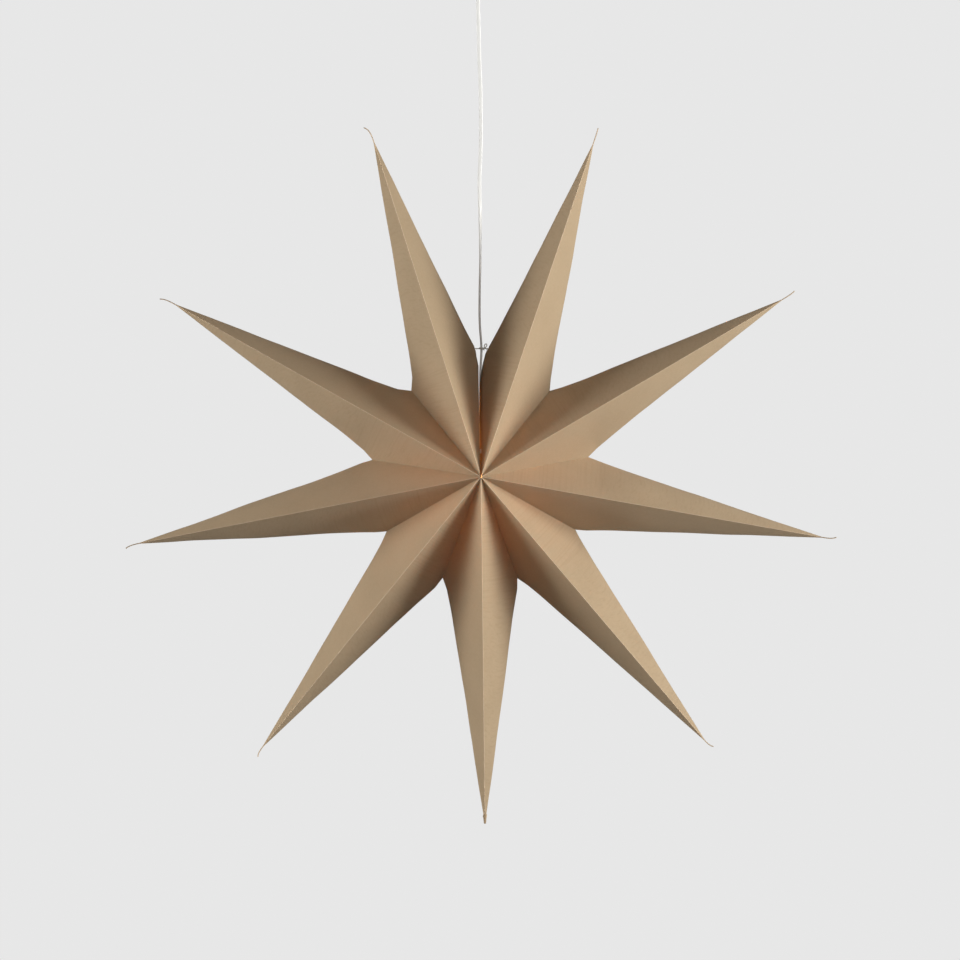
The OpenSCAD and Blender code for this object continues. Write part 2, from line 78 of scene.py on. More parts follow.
# A tail is nearly straight, and most of its turn lies near its end
TAIL_POWER = 5
FLAT_T = 0.62
CONE_END = 0.94
HOLLOW_END = 0.96
TAIL_START = NOTCH + (REACH - NOTCH) * CONE_END
PINCH, PINCH_LEN, SPREAD_PAST, ROUND_LEN = 0.03, 60.0, 12.0, 90.0
SLIT, FLAP_START = 0.3, 12.0
# The slot's flaps: their lean to the left, their slit beside the cord, and the front one's start
FLAP_LEAN, SLOT_SLIT, SLOT_FLAP_START = 3.0, 3.4, -4.0
SKIN_W = PAPER * math.sqrt(1 + (DEPTH / CONE) ** 2)
SKIN_V = PAPER * math.sqrt(1 + (CONE / DEPTH) ** 2)


def sind(a): return math.sin(math.radians(a))
def cosd(a): return math.cos(math.radians(a))
def mix(a, b, f): return a + (b - a) * f
def clamp(f): return max(0.0, min(1.0, f))


def ease(f):
    g = clamp(f)
    return g * g * (3 - 2 * g)


def turned(p, a):
    return (p[0] * cosd(a) - p[1] * sind(a), p[0] * sind(a) + p[1] * cosd(a))


def world(x, h, f):
    """Star axes in millimetres to the row frame in metres."""
    return Vector((x / 1000, -f / 1000, (h - DROP) / 1000))


# Camera
FOCAL_PX = 1400.0
FRAME_PX = 960.0
CAM_DISTANCE = 1947.0
CAM_PITCH, CAM_YAW, CAM_ROLL = 1.033, 0.27, -0.236
CAM_OFFSET = (0.72, 6.26)


def make_camera():
    turn = (Matrix.Rotation(math.radians(CAM_PITCH), 3, "X")
            @ Matrix.Rotation(math.radians(CAM_YAW), 3, "Z")
            @ Matrix.Rotation(math.radians(CAM_ROLL), 3, "Y"))
    back = turn.transposed()
    place = back @ (Vector((0, -CAM_DISTANCE, 0)) - Vector((CAM_OFFSET[0], 0, CAM_OFFSET[1])))
    data = bpy.data.cameras.new("photo_camera")
    data.sensor_width = 36.0
    data.lens = 36.0 * FOCAL_PX / FRAME_PX
    data.clip_start, data.clip_end = 0.05, 50.0
    cam = bpy.data.objects.new("photo_camera", data)
    right, ahead, up = back.col[0], back.col[1], back.col[2]
    cam.matrix_world = Matrix((
        (right[0], up[0], -ahead[0], place[0] / 1000),
        (right[1], up[1], -ahead[1], place[1] / 1000),
        (right[2], up[2], -ahead[2], place[2] / 1000 - DROP / 1000),
        (0, 0, 0, 1)))
    scene.collection.objects.link(cam)
    scene.camera = cam


make_camera()


# Material helpers
def new_material(name):
    mat = bpy.data.materials.new(name)
    mat.use_nodes = True
    tree = mat.node_tree
    tree.nodes.clear()
    out = tree.nodes.new("ShaderNodeOutputMaterial")
    shader = tree.nodes.new("ShaderNodeBsdfPrincipled")
    tree.links.new(shader.outputs[0], out.inputs["Surface"])
    return mat, tree, shader, out


def add(tree, kind, **sets):
    node = tree.nodes.new(kind)
    for key, value in sets.items():
        if key in node.inputs:
            node.inputs[key].default_value = value
        else:
            setattr(node, key, value)
    return node


def noise_node(tree, coords, scale, detail=3.0, rough=0.55, stretch=None):
    if stretch:
        mapping = add(tree, "ShaderNodeMapping")
        mapping.inputs["Scale"].default_value = stretch
        tree.links.new(coords, mapping.inputs["Vector"])
        coords = mapping.outputs["Vector"]
    tex = add(tree, "ShaderNodeTexNoise", Scale=scale, Detail=detail, Roughness=rough)
    tree.links.new(coords, tex.inputs["Vector"])
    return tex.outputs["Fac"]


def ramp(tree, fac, stops):
    node = add(tree, "ShaderNodeValToRGB")
    elements = node.color_ramp.elements
    while len(elements) < len(stops):
        elements.new(0.5)
    for e, (pos, colour) in zip(elements, stops):
        e.position = pos
        e.color = (*colour, 1) if len(colour) == 3 else colour
    tree.links.new(fac, node.inputs["Fac"])
    return node.outputs["Color"]


def scaled(tree, value, low, high):
    """A 0 to 1 value spread from low to high."""
    node = add(tree, "ShaderNodeMapRange")
    node.inputs["To Min"].default_value = low
    node.inputs["To Max"].default_value = high
    tree.links.new(value, node.inputs["Value"])
    return node.outputs["Result"]


def mixed(tree, a, b, fac, how="MIX"):
    """Colours a and b mixed by fac. Each may be a socket or a plain value."""
    node = add(tree, "ShaderNodeMix", data_type="RGBA", blend_type=how)
    for key, value in ((0, fac), (6, a), (7, b)):
        if isinstance(value, bpy.types.NodeSocket):
            tree.links.new(value, node.inputs[key])
        else:
            node.inputs[key].default_value = (*value, 1) if isinstance(value, tuple) else value
    return node.outputs[2]


def bump(tree, shader, height, strength, distance):
    node = add(tree, "ShaderNodeBump", Strength=strength, Distance=distance)
    tree.links.new(height, node.inputs["Height"])
    tree.links.new(node.outputs["Normal"], shader.inputs["Normal"])
    return node.outputs["Normal"]


def object_coords(tree):
    return add(tree, "ShaderNodeTexCoord").outputs["Object"]


# Materials
def kraft_paper():
    mat, tree, shader, out = new_material("kraft_paper")
    coords = object_coords(tree)
    uv = add(tree, "ShaderNodeUVMap", uv_map="paper").outputs["UV"]
    cloud = noise_node(tree, coords, 14.0, 3.0, 0.6)
    mottle = noise_node(tree, coords, 260.0, 4.0, 0.65)
    fibre = noise_node(tree, uv, 900.0, 3.0, 0.6, (0.25, 1.0, 1.0))
    speck = noise_node(tree, coords, 1400.0, 2.0, 0.5)
    base = ramp(tree, cloud, [(0.3, (0.440, 0.338, 0.215)), (0.7, (0.478, 0.370, 0.238))])
    base = mixed(tree, base, (0.54, 0.425, 0.285), scaled(tree, mottle, -0.15, 0.35))
    base = mixed(tree, base, (0.36, 0.255, 0.16),
                 ramp(tree, fibre, [(0.3, (0.42,) * 3), (0.52, (0.0,) * 3)]))
    base = mixed(tree, base, (0.62, 0.50, 0.37),
                 ramp(tree, speck, [(0.62, (0.0,) * 3), (0.8, (0.5,) * 3)]))
    # Painted highlight: the base colour is lightened in a thin line within about 1.3 mm of each
    # crease, where the folded ridge would catch the light.
    crease = add(tree, "ShaderNodeAttribute", attribute_name="crease_mm").outputs["Fac"]
    crease_highlight = add(tree, "ShaderNodeMapRange", interpolation_type="SMOOTHSTEP")
    crease_highlight.inputs["From Min"].default_value = 0.35
    crease_highlight.inputs["From Max"].default_value = 1.3
    crease_highlight.inputs["To Min"].default_value = 0.55
    crease_highlight.inputs["To Max"].default_value = 0.0
    tree.links.new(crease, crease_highlight.inputs["Value"])
    base = mixed(tree, base, (0.72, 0.60, 0.45), crease_highlight.outputs["Result"])
    tree.links.new(base, shader.inputs["Base Color"])
    tree.links.new(scaled(tree, mottle, 0.72, 0.92), shader.inputs["Roughness"])
    shader.inputs["Specular IOR Level"].default_value = 0.25
    shader.inputs["Sheen Weight"].default_value = 0.08
    shader.inputs["Sheen Roughness"].default_value = 0.6
    height = mixed(tree, fibre, mottle, 0.5)
    normal = bump(tree, shader, height, 0.35, 0.0004)
    through = add(tree, "ShaderNodeBsdfTranslucent")
    glow = mixed(tree, (0.74, 0.46, 0.17), (0.86, 0.60, 0.27), mottle)
    tree.links.new(glow, through.inputs["Color"])
    tree.links.new(normal, through.inputs["Normal"])
    blend = add(tree, "ShaderNodeMixShader", Fac=0.22)
    tree.links.new(shader.outputs[0], blend.inputs[1])
    tree.links.new(through.outputs[0], blend.inputs[2])
    tree.links.new(blend.outputs[0], out.inputs["Surface"])
    return mat


def cotton_string():
    mat, tree, shader, _ = new_material("cotton_string")
    coords = object_coords(tree)
    fuzz = noise_node(tree, coords, 2600.0, 4.0, 0.7)
    tree.links.new(ramp(tree, fuzz, [(0.3, (0.62, 0.59, 0.52)), (0.65, (0.86, 0.84, 0.78))]),
                   shader.inputs["Base Color"])
    tree.links.new(scaled(tree, fuzz, 0.75, 0.98), shader.inputs["Roughness"])
    shader.inputs["Sheen Weight"].default_value = 0.35
    bump(tree, shader, fuzz, 0.5, 0.0002)
    return mat


def plastic(name, light, dark, rough, scale=900.0, grain=0.12, subsurface=0.0):
    """Moulded plastic with a fine skin and a slight unevenness in tone."""
    mat, tree, shader, _ = new_material(name)
    coords = object_coords(tree)
    skin = noise_node(tree, coords, scale, 3.0, 0.6)
    cloud = noise_node(tree, coords, 35.0, 2.0, 0.5)
    tree.links.new(ramp(tree, cloud, [(0.35, dark), (0.65, light)]), shader.inputs["Base Color"])
    tree.links.new(scaled(tree, skin, rough - 0.07, rough + 0.09), shader.inputs["Roughness"])
    if subsurface:
        shader.inputs["Subsurface Weight"].default_value = subsurface
        shader.inputs["Subsurface Scale"].default_value = 0.004
    bump(tree, shader, skin, grain, 0.0001)
    return mat


def metal(name, light, dark, rough, stretch=(1.0, 1.0, 12.0)):
    """Plated metal with fine brush lines."""
    mat, tree, shader, _ = new_material(name)
    coords = object_coords(tree)
    brush = noise_node(tree, coords, 500.0, 3.0, 0.6, stretch)
    stain = noise_node(tree, coords, 90.0, 3.0, 0.6)
    tree.links.new(ramp(tree, stain, [(0.3, dark), (0.7, light)]), shader.inputs["Base Color"])
    tree.links.new(scaled(tree, brush, rough - 0.08, rough + 0.12), shader.inputs["Roughness"])
    shader.inputs["Metallic"].default_value = 1.0
    bump(tree, shader, brush, 0.12, 0.00005)
    return mat


BULB_SHINE, BULB_SEEN = 48.0, 1.4


def lit_glass():
    """Frosted glass of the burning bulb."""
    mat, tree, shader, _ = new_material("frosted_bulb_glass")
    coords = object_coords(tree)
    frost = noise_node(tree, coords, 700.0, 3.0, 0.6)
    tree.links.new(ramp(tree, frost, [(0.3, (0.90, 0.86, 0.78)), (0.7, (0.96, 0.93, 0.87))]),
                   shader.inputs["Base Color"])
    tree.links.new(scaled(tree, frost, 0.35, 0.55), shader.inputs["Roughness"])
    shader.inputs["Emission Color"].default_value = (1.0, 0.50, 0.18, 1)
    # The glass shines far brighter as a lamp than it shows through the small gaps
    seen = add(tree, "ShaderNodeLightPath").outputs["Is Camera Ray"]
    tree.links.new(scaled(tree, seen, BULB_SHINE, BULB_SEEN), shader.inputs["Emission Strength"])
    bump(tree, shader, frost, 0.1, 0.0001)
    return mat


KRAFT = kraft_paper()
COTTON = cotton_string()
SHEATH = plastic("cord_sheath_white", (0.90, 0.90, 0.89), (0.86, 0.86, 0.845), 0.38)
WHITE = plastic("moulded_white", (0.82, 0.82, 0.80), (0.78, 0.78, 0.755), 0.34)
IVORY = plastic("moulded_ivory", (0.80, 0.77, 0.70), (0.76, 0.73, 0.655), 0.36)
CLOUDY = plastic("moulded_cloudy", (0.74, 0.75, 0.73), (0.68, 0.69, 0.67), 0.42, subsurface=0.3)
CERAMIC = plastic("fired_ceramic", (0.82, 0.79, 0.73), (0.76, 0.73, 0.66), 0.3, 300.0)
BLACK_GLASS = plastic("black_glass", (0.03, 0.028, 0.035), (0.02, 0.018, 0.022), 0.12, 200.0, 0.05)
BRASS = metal("brass", (0.80, 0.58, 0.26), (0.68, 0.47, 0.19), 0.3)
NICKEL = metal("nickel_plate", (0.72, 0.70, 0.66), (0.62, 0.60, 0.56), 0.26)
ZINC = metal("zinc_plate", (0.70, 0.71, 0.72), (0.58, 0.60, 0.62), 0.36, (12.0, 1.0, 1.0))
LIT_GLASS = lit_glass()


# Mesh helpers
def make_piece(name, points, faces, mat, replaces, sharp=30.0, smooth=True):
    mesh = bpy.data.meshes.new(name)
    mesh.from_pydata([tuple(p) for p in points], [], faces)
    mesh.validate()
    if smooth:
        mesh.shade_smooth()
        mesh.set_sharp_from_angle(angle=math.radians(sharp))
    mesh.materials.append(mat)
    piece = bpy.data.objects.new(name, mesh)
    scene.collection.objects.link(piece)
    if replaces:
        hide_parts(*replaces)
    return piece


def smooth_path(points, step):
    """Catmull-Rom curve through the points, resampled at about the step."""
    p = np.array(points, float)
    p = np.vstack([2 * p[0] - p[1], p, 2 * p[-1] - p[-2]])
    fine = []
    for a, b, c, d in zip(p[:-3], p[1:-2], p[2:-1], p[3:]):
        for t in np.linspace(0, 1, 14, endpoint=False):
            fine.append(0.5 * (2 * b + (c - a) * t + (2 * a - 5 * b + 4 * c - d) * t * t
                               + (3 * b - a - 3 * c + d) * t ** 3))
    fine.append(p[-2])
    fine = np.array(fine)
    run = np.concatenate([[0], np.cumsum(np.linalg.norm(np.diff(fine, axis=0), axis=1))])
    n = max(2, int(round(run[-1] / step)))
    at = np.linspace(0, run[-1], n + 1)
    return np.stack([np.interp(at, run, fine[:, k]) for k in range(3)], 1)


def frames_along(path):
    """Tangent and two normals at each point, carried along without twist."""
    path = np.asarray(path, float)
    tangent = np.gradient(path, axis=0)
    tangent /= np.linalg.norm(tangent, axis=1)[:, None]
    first = np.cross(tangent[0], (0.31, 0.52, 0.79))
    normal = [first / np.linalg.norm(first)]
    for t in tangent[1:]:
        n = normal[-1] - t * (normal[-1] @ t)
        normal.append(n / np.linalg.norm(n))
    normal = np.array(normal)
    return tangent, normal, np.cross(tangent, normal)


def tube(path, radius, sides=8, points=None, faces=None):
    """Adds a closed tube along the path to points and faces. radius may be one per point."""
    points = [] if points is None else points
    faces = [] if faces is None else faces
    _, n, b = frames_along(path)
    radius = np.broadcast_to(np.asarray(radius, float), (len(path),))
    start = len(points)
    for c, nn, bb, r in zip(path, n, b, radius):
        for k in range(sides):
            a = 2 * math.pi * k / sides
            points.append(c + r * (math.cos(a) * nn + math.sin(a) * bb))
    for row in range(len(path) - 1):
        for k in range(sides):
            i = start + row * sides
            j = (k + 1) % sides
            faces.append((i + k, i + j, i + sides + j, i + sides + k))
    faces.append(tuple(start + k for k in range(sides - 1, -1, -1)))
    last = start + (len(path) - 1) * sides
    faces.append(tuple(last + k for k in range(sides)))
    return points, faces


# A laid string's step along its path in millimetres. Its plies' offset and radius are shares of
# the string's diameter.
STRING_STEP, PLY_OFFSET, PLY_R, PLY_SIDES = 0.45, 0.27, 0.25, 7


def twisted_string(path_points, diameter, points, faces, pitch=4.2, plies=3):
    """Laid string: plies that wind round each other along a path in star axes."""
    path = smooth_path(path_points, STRING_STEP)
    _, n, b = frames_along(path)
    run = np.concatenate([[0], np.cumsum(np.linalg.norm(np.diff(path, axis=0), axis=1))])
    end = np.minimum(1.0, np.minimum(run, run[-1] - run) / 0.8 + 0.45)
    for k in range(plies):
        a = 2 * math.pi * (run / pitch + k / plies)
        off = PLY_OFFSET * diameter * (np.cos(a)[:, None] * n + np.sin(a)[:, None] * b)
        tube(path + off, PLY_R * diameter * end, PLY_SIDES, points, faces)


# Rays
def ray_side(i, sign):
    slotted = (sign > 0 and i == 1) or (sign < 0 and i == 9)
    edge = EDGE_DIR[i - 1] if sign > 0 else EDGE_DIR[i]
    return abs(edge - RAY_DIR[i - 1]), SLOT if slotted else 0.0, sign


def edge_uv(side, r, more=0.0):
    d = side[1] + more
    return (r * cosd(side[0]) + d * sind(side[0]),
            side[2] * (r * sind(side[0]) - d * cosd(side[0])))


def crease_h(u): return DEPTH * (1 - u / REACH)


def panel_h(side, p):
    n = edge_uv(side, NOTCH)
    return crease_h(p[0]) - crease_h(n[0]) / abs(n[1]) * abs(p[1])


def hub_start(side): return max(HUB_GAP, (side[1] + PAPER + HUB_CLEAR) / sind(side[0]))


def inner_notch(side):
    wa = panel_h(side, edge_uv(side, 0, PAPER)) - SKIN_W
    wb = panel_h(side, edge_uv(side, NOTCH, PAPER)) - SKIN_W
    return NOTCH * wa / (wa - wb)


def base_point(side, f, face, inner):
    p = edge_uv(side, mix(hub_start(side), inner_notch(side) if inner else NOTCH, f),
                PAPER if inner else 0.0)
    w = 0.0 if f == 1 else panel_h(side, p) - (SKIN_W if inner else 0.0)
    return (p[0], p[1], face * w)


def flap_lines(side):
    r0 = hub_start(side)
    w0 = panel_h(side, edge_uv(side, r0))
    span = np.array([NOTCH - r0, -w0])
    along = span / np.linalg.norm(span)
    inward = np.array([along[1], -along[0]])
    return r0, w0, along, inward


def flap_point(side, face, at_notch, inner):
    r0, w0, along, inward = flap_lines(side)
    start = np.array([r0, w0]) + FLAP * inward
    slotted = side[1] > 0
    first = SLOT_FLAP_START if slotted and side[2] > 0 else FLAP_START
    free = SLOT_SLIT if slotted else SLIT
    step = (free - start[1]) / along[1] if at_notch else (first - start[0]) / along[0]
    q = start + step * along
    lean = -side[2] * FLAP_LEAN if slotted else 0.0
    p = edge_uv(side, q[0], lean + (PAPER if inner else 0.0))
    return (p[0], p[1], face * q[1])


def cone_notch(side):
    a, d, share = side[0], side[1], CONE / REACH
    return (CONE - share * d * sind(a) + d * cosd(a)) / (sind(a) + share * cosd(a))


def half_width(side, u):
    n = edge_uv(side, NOTCH)
    cone = CONE * (1 - u / REACH)
    held = CONE * (1 - n[0] / REACH) - abs(n[1])
    spread = abs(cone_notch(side) - NOTCH) + SPREAD_PAST
    return max(TAIL_T / 2, cone * (1 - PINCH * ease((u - n[0]) / PINCH_LEN))
               - held * (1 - ease((u - n[0]) / spread)))


def half_height(u): return max(TAIL_W / 2, crease_h(u))


def bulge(t, c):
    if c < 1e-6:
        return 1 - abs(t)
    return 1 - (math.sqrt(t * t + c * c) - c) / (math.sqrt(1 + c * c) - c)


def section(side, u, t, inner):
    c = ROUND * ease((u - edge_uv(side, NOTCH)[0]) / ROUND_LEN)
    return (side[2] * (half_width(side, u) - (SKIN_V if inner else 0)) * bulge(t, c),
            t * (half_height(u) - (SKIN_W if inner else 0)))


LAP = 0.9
QUARTER = [1, 0.965, LAP + 0.006, LAP, 0.81, 0.715, FLAT_T, 0.5, 0.39, 0.29, 0.2, 0.125, 0.06]
AROUND = QUARTER + [0] + [-t for t in reversed(QUARTER)]
HALF = len(AROUND) - 1
COLS = 2 * HALF
NOTCH_COL = len(QUARTER)
FLAT_COL = QUARTER.index(FLAT_T)
BASE_ROWS = 14
CONE_SHARES = [0.02 + (CONE_END - 0.02) * (k / 34) ** 1.25 for k in range(35)]
TAIL_STEPS = [(k + 1) / 14 for k in range(14)]


def column(sides, k):
    return (sides[0], AROUND[k]) if k <= HALF else (sides[1], AROUND[COLS - k])


def rim_point(sides, k, inner):
    side, t = column(sides, k)
    face = -1 if t < 0 else 1
    t = abs(t)
    u = max(hub_start(s) for s in sides)
    crease = (u, 0.0, face * (crease_h(u) - (SKIN_W if inner else 0)))
    if t >= FLAT_T:
        end = base_point(side, 0, face, inner)
        f = (1 - t) / (1 - FLAT_T)
        return tuple(mix(a, b, f) for a, b in zip(crease, end))
    return base_point(side, 1 - t / FLAT_T, face, inner)


def cone_ring(sides, share, inner):
    u = mix(NOTCH, REACH, share)
    ring = []
    for k in range(COLS):
        side, t = column(sides, k)
        v, w = section(side, u, t, inner)
        ring.append((u, v, w))
    return ring


def tail_middle(i, f, n=24):
    x = y = 0.0
    for a in range(n):
        h = TAIL_TURN[i - 1] * (f * (a + 0.5) / n) ** TAIL_POWER
        x += TAIL_LEN[i - 1] * f / n * cosd(h)
        y += TAIL_LEN[i - 1] * f / n * sind(h)
    return x, y


def tail_ring(i, sides, f):
    m, h, last = tail_middle(i, f), TAIL_TURN[i - 1] * f ** TAIL_POWER, TAIL_TWIST[i - 1]
    slim = 1 - 0.3 * ease((f - 0.5) / 0.5)
    ring = []
    for k in range(COLS):
        side, t = column(sides, k)
        v, w = section(side, TAIL_START + TAIL_LEN[i - 1] * f, t, False)
        b = turned((v, w * slim), last * ease(1.6 * f) - last)
        vw = turned((m[1] + b[0] * cosd(h), b[1]), last)
        ring.append((TAIL_START + m[0] - b[0] * sind(h), vw[0], vw[1]))
    return ring


def waver(i, k, p, fade):
    """Slight unevenness of the paper: moves a point sideways, not at the creases or the base."""
    t = abs(AROUND[k] if k <= HALF else AROUND[COLS - k])
    room = (1 - t * t) * fade
    side = 1 if k <= HALF else -1
    n1 = noise.noise(Vector((p[0] * 0.011, side * 3.1 + p[2] * 0.012, i * 7.3)))
    n2 = noise.noise(Vector((p[0] * 0.034, side * 5.7 + p[2] * 0.03, i * 3.9)))
    return p[0], p[1] + side * room * (1.1 * n1 + 0.35 * n2), p[2]


def lap_raise(k, p):
    """The glued lap along the back crease stands one paper higher."""
    if HALF <= k and AROUND[COLS - k] <= -(LAP + 0.003):
        n = np.array([0.0, -DEPTH, -CONE]) / math.hypot(DEPTH, CONE)
        return tuple(np.array(p) + PAPER * n)
    return p


def paper_ray(i):
    sides = (ray_side(i, 1), ray_side(i, -1))

    def skin(inner):
        rim = [rim_point(sides, k, inner) for k in range(COLS)]
        first = cone_ring(sides, CONE_SHARES[0], inner)
        rows = []
        for r in range(BASE_ROWS):
            f = (r / BASE_ROWS) ** 0.85
            row = [tuple(mix(a, b, f) for a, b in zip(p, q)) for p, q in zip(rim, first)]
            rows.append([waver(i, k, p, 0.6 * ease(f)) for k, p in enumerate(row)] if r else row)
        for share in CONE_SHARES:
            fade = mix(0.6, 1.0, ease(share / 0.2)) * (1 - ease((share - 0.75) / 0.19))
            ring = cone_ring(sides, share, inner)
            rows.append([waver(i, k, p, fade) for k, p in enumerate(ring)])
        return rows

    outer, inner = skin(False), skin(True)
    inner_rows = len(inner)
    outer += [tail_ring(i, sides, f) for f in TAIL_STEPS]
    raised = [[lap_raise(k, p) if 0 < r < inner_rows else p for k, p in enumerate(row)]
              for r, row in enumerate(outer)]
    points = [p for row in raised for p in row]
    inn = len(points)
    points += [p for row in inner for p in row]
    apex = len(points)
    points.append((mix(NOTCH, REACH, HOLLOW_END), 0.0, 0.0))
    faces = []
    for r in range(len(outer) - 1):
        for k in range(COLS):
            a, b = r * COLS + k, r * COLS + (k + 1) % COLS
            faces.append((a, b, b + COLS, a + COLS))
    for r in range(inner_rows - 1):
        for k in range(COLS):
            a, b = inn + r * COLS + k, inn + r * COLS + (k + 1) % COLS
            faces.append((a, a + COLS, b + COLS, b))
    faces.append(tuple((len(outer) - 1) * COLS + k for k in range(COLS)))
    end = inn + (inner_rows - 1) * COLS
    faces += [(end + k, apex, end + (k + 1) % COLS) for k in range(COLS)]
    # Hub ends of the rim, between the two skins
    hub = (list(range(COLS - FLAT_COL, COLS)) + list(range(FLAT_COL))
           + list(range(HALF - FLAT_COL, HALF + FLAT_COL)))
    faces += [((k + 1) % COLS, k, inn + k, inn + (k + 1) % COLS) for k in hub]
    # Glue flaps: from, to, side, face
    flaps = [(FLAT_COL, NOTCH_COL, sides[0], 1), (NOTCH_COL, HALF - FLAT_COL, sides[0], -1),
             (HALF + FLAT_COL, COLS - NOTCH_COL, sides[1], -1),
             (COLS - NOTCH_COL, COLS - FLAT_COL, sides[1], 1)]
    for a, b, side, face in flaps:
        low = [[], []]
        for layer in (0, 1):
            q0 = np.array(flap_point(side, face, a in (NOTCH_COL, COLS - NOTCH_COL), layer))
            q1 = np.array(flap_point(side, face, b in (NOTCH_COL, COLS - NOTCH_COL), layer))
            rim = np.array([points[(inn if layer else 0) + k] for k in range(a, b + 1)])
            run = np.concatenate([[0], np.cumsum(np.linalg.norm(np.diff(rim, axis=0), axis=1))])
            for s in run / run[-1]:
                low[layer].append(len(points))
                points.append(tuple(mix(q0, q1, s)))
        for j, k in enumerate(range(a, b)):
            o0, o1, i0, i1 = low[0][j], low[0][j + 1], low[1][j], low[1][j + 1]
            faces += [(k + 1, k, o0, o1), (inn + k, inn + k + 1, i1, i0), (o1, o0, i0, i1)]
        faces += [(low[0][0], a, inn + a, low[1][0]), (b, low[0][-1], low[1][-1], inn + b)]
    return points, faces, outer, inner, inn


def crease_distance(outer, inner, inn, count):
    """Distance of each skin point from the nearer crease along its own section, in millimetres."""
    far = np.full(count, 40.0)
    for rows, start in ((outer, 0), (inner, inn)):
        for r, row in enumerate(rows):
            p = np.array(row)
            for k in range(COLS):
                ends = (p[0], p[HALF])
                far[start + r * COLS + k] = min(np.linalg.norm(p[k] - e) for e in ends)
    return far


def cut_hole(piece, centre, radius, reach):
    """A punched hole along X through the piece."""
    bpy.ops.mesh.primitive_cylinder_add(vertices=40, radius=radius / 1000, depth=reach / 1000,
                                        location=centre, rotation=(0, math.pi / 2, 0))
    cutter = bpy.context.object
    mod = piece.modifiers.new("punch", "BOOLEAN")
    mod.operation, mod.solver, mod.object = "DIFFERENCE", "EXACT", cutter
    bpy.context.view_layer.objects.active = piece
    bpy.ops.object.modifier_apply(modifier=mod.name)
    bpy.data.objects.remove(cutter, do_unlink=True)


def wall_x(i, sign, h):
    """X of the wall of ray i, on its side toward the slot, at height h in the star's plane."""
    side, across, up = ray_side(i, sign), cosd(RAY_DIR[i - 1]), sind(RAY_DIR[i - 1])
    u = h
    for _ in range(8):
        u = (h - sign * half_width(side, u) * across) / up
    return u * across - sign * half_width(side, u) * up


def slot_x(edge, h):
    """X of a side of the slot at height h: edge 0 is the right one, edge 9 the left one."""
    offset = SLOT if edge == 0 else -SLOT
    return offset / abs(sind(EDGE_DIR[edge])) + h / math.tan(math.radians(EDGE_DIR[edge]))


TOP_TIE_H = TIE_RISE + max(NOTCH, cone_notch(ray_side(1, 1)), cone_notch(ray_side(9, -1)))
_r0, _w0, _along, _inward = flap_lines(ray_side(1, 1))
TIE_EDGE = np.array([TIE_RADIUS, _w0 * (NOTCH - TIE_RADIUS) / (NOTCH - _r0)])
TIE_HOLE = TIE_EDGE + FLAP / 2 * _inward
TOP_HOLE_REACH, SMALL_HOLE_REACH = 15.0, 9.0
# Knots inside the rays: their radius, and their gaps to the wall and to the flaps
KNOT_R, KNOT_GAP, SMALL_KNOT_GAP = PUNCH / 2 + 0.5, 0.25, 0.3

for i in range(1, 10):
    points, faces, outer, inner, inn = paper_ray(i)
    far = crease_distance(outer, inner, inn, len(points))
    placed = []
    for u, v, w in points:
        x, h = turned((u, v), RAY_DIR[i - 1])
        placed.append(world(x, h, w))
    mesh = bpy.data.meshes.new(f"paper_ray_{i}")
    mesh.from_pydata([tuple(p) for p in placed], [], faces)
    layer = mesh.attributes.new("crease_mm", "FLOAT", "POINT")
    layer.data.foreach_set("value", far.astype(np.float32))
    uv = mesh.uv_layers.new(name="paper")
    flat = np.array([(p[0] / 1000, (p[2] + (1.7 if p[1] > 0 else -1.7) * abs(p[1]) + 40 * i) / 1000)
                     for p in points])
    loops = np.empty(len(mesh.loops), int)
    mesh.loops.foreach_get("vertex_index", loops)
    uv.data.foreach_set("uv", flat[loops].ravel())
    mesh.shade_smooth()
    mesh.set_sharp_from_angle(angle=math.radians(26))
    mesh.materials.append(KRAFT)
    ray = bpy.data.objects.new(f"paper_ray_{i}", mesh)
    scene.collection.objects.link(ray)
    if i in (1, 9):
        sign = 1 if i == 1 else -1
        cut_hole(ray, world(wall_x(i, sign, TOP_TIE_H), TOP_TIE_H, 0), PUNCH / 2, TOP_HOLE_REACH)
        for face in (1, -1):
            cut_hole(ray, world(0, TIE_HOLE[0], face * TIE_HOLE[1]), PUNCH / 2,
                     2 * SMALL_HOLE_REACH)
    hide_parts(f"ray_{i}")
    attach(ray, "root")

# Cord
CORD_ROUTE = [(0, 40), (0, 100), (0.3, 130), (0.5, 150), (1.6, 162), (2.2, 176), (1.4, 190),
              (0, 205), (-0.5, 225), (0, 262), (1, 295), (1, 362), (0, 412), (1, 428), (2.5, 462),
              (2.5, 510), (2, 545), (0.5, 578), (0, 612), (-1, 660), (0, 690), (0, 800)]
CORD_LOW, CORD_HIGH = HOLDER_TOP - CAP_H, DROP + CORD_TOP


def cord_x(h):
    hs, xs = [p[1] for p in CORD_ROUTE], [p[0] for p in CORD_ROUTE]
    return (np.interp(h - 8, hs, xs) + 2 * np.interp(h, hs, xs) + np.interp(h + 8, hs, xs)) / 4


def cord_turn(h):
    return 90 * (1 - ease((h - CORD_TURN_LOW) / (CORD_TURN_HIGH - CORD_TURN_LOW)))


